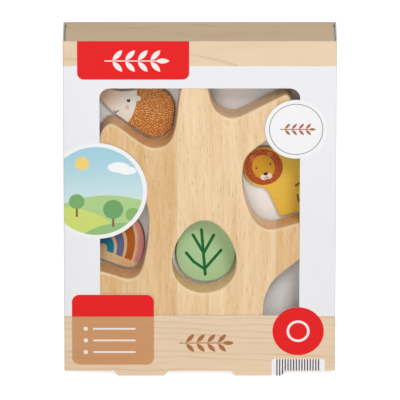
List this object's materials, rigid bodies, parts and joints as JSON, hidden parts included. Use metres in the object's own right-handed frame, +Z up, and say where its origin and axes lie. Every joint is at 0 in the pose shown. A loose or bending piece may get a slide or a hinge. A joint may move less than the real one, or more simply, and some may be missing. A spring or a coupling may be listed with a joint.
{
  "type": "boxed balancing tree game",
  "caption": "Balancing tree game in a windowed carton: notched wooden tree board, loose wooden animals and shapes in a card tray, and a card cover with a flap top.",
  "frame": {"origin": "middle of the carton's footprint, on the surface it stands on", "axes": "+Z up, -Y out of the window, +X to the right as the window is seen"},
  "size_m": [0.195, 0.042, 0.2554],
  "materials": {
    "front_panel": "printed board",
    "left_side_panel": "printed board",
    "right_side_panel": "printed board",
    "bottom_panel": "printed board",
    "left_bottom_flap": "bare board",
    "right_bottom_flap": "bare board",
    "lid_panel": "printed board",
    "lid_tuck_flap": "printed board",
    "left_dust_flap": "bare board",
    "right_dust_flap": "bare board",
    "insert_tray": "white foamed card",
    "back_panel": "printed board",
    "tree": "sanded wood, thin clear coat",
    "leaf": "painted wood",
    "hedgehog": "painted wood",
    "lion": "painted wood",
    "rainbow": "painted wood",
    "cloud": "painted wood",
    "bird": "painted wood",
    "fox": "painted wood",
    "mushroom": "painted wood",
    "turtle": "painted wood"
  },
  "bodies": {
    "base": {"back_panel": "back_panel", "insert_tray": "insert_tray"},
    "tree": {"tree": "tree"},
    "cover": {"front_panel": "front_panel", "left_side_panel": "left_side_panel", "right_side_panel": "right_side_panel", "bottom_panel": "bottom_panel", "left_bottom_flap": "left_bottom_flap", "right_bottom_flap": "right_bottom_flap"},
    "lid": {"lid_panel": "lid_panel"},
    "tuck": {"lid_tuck_flap": "lid_tuck_flap"},
    "left_dust": {"left_dust_flap": "left_dust_flap"},
    "right_dust": {"right_dust_flap": "right_dust_flap"},
    "leaf": {"leaf": "leaf"},
    "hedgehog": {"hedgehog": "hedgehog"},
    "lion": {"lion": "lion"},
    "rainbow": {"rainbow": "rainbow"},
    "cloud": {"cloud": "cloud"},
    "bird": {"bird": "bird"},
    "fox": {"fox": "fox"},
    "mushroom": {"mushroom": "mushroom"},
    "turtle": {"turtle": "turtle"}
  },
  "joints": [
    {"name": "tree_off_tray", "type": "slide", "parent": "base", "child": "tree", "axis": [0, -1, 0], "range_m": [0, 0.08]},
    {"name": "cover_off_tray", "type": "slide", "parent": "tree", "child": "cover", "axis": [0, -1, 0], "range_m": [0, 0.12]},
    {"name": "lid_hinge", "type": "hinge", "parent": "cover", "child": "lid", "pos_m": [0, -0.02, 0.2554], "axis": [1, 0, 0], "range_deg": [0, 120]},
    {"name": "tuck_hinge", "type": "hinge", "parent": "lid", "child": "tuck", "pos_m": [0, 0.01955, 0.2544], "axis": [1, 0, 0], "range_deg": [0, 30]},
    {"name": "left_dust_hinge", "type": "hinge", "parent": "cover", "child": "left_dust", "pos_m": [-0.09635, 0, 0.2541], "axis": [0, -1, 0], "range_deg": [0, 90]},
    {"name": "right_dust_hinge", "type": "hinge", "parent": "cover", "child": "right_dust", "pos_m": [0.09635, 0, 0.2541], "axis": [0, 1, 0], "range_deg": [0, 90]},
    {"name": "leaf_out", "type": "slide", "parent": "base", "child": "leaf", "axis": [0, -1, 0], "range_m": [0, 0.06]},
    {"name": "hedgehog_out", "type": "slide", "parent": "base", "child": "hedgehog", "axis": [0, -1, 0], "range_m": [0, 0.021]},
    {"name": "lion_out", "type": "slide", "parent": "base", "child": "lion", "axis": [0, -1, 0], "range_m": [0, 0.021]},
    {"name": "rainbow_out", "type": "slide", "parent": "base", "child": "rainbow", "axis": [0, -1, 0], "range_m": [0, 0.021]},
    {"name": "cloud_out", "type": "slide", "parent": "base", "child": "cloud", "axis": [0, -1, 0], "range_m": [0, 0.021]},
    {"name": "bird_out", "type": "slide", "parent": "base", "child": "bird", "axis": [0, -1, 0], "range_m": [0, 0.021]},
    {"name": "fox_out", "type": "slide", "parent": "base", "child": "fox", "axis": [0, -1, 0], "range_m": [0, 0.021]},
    {"name": "mushroom_out", "type": "slide", "parent": "base", "child": "mushroom", "axis": [0, -1, 0], "range_m": [0, 0.021]},
    {"name": "turtle_out", "type": "slide", "parent": "base", "child": "turtle", "axis": [0, -1, 0], "range_m": [0, 0.021]}
  ],
  "couplings": [
    {"joint": "tuck_hinge", "follows": "lid_hinge", "ratio": 0.25},
    {"joint": "left_dust_hinge", "follows": "lid_hinge", "ratio": 0.75},
    {"joint": "right_dust_hinge", "follows": "lid_hinge", "ratio": 0.75}
  ]
}
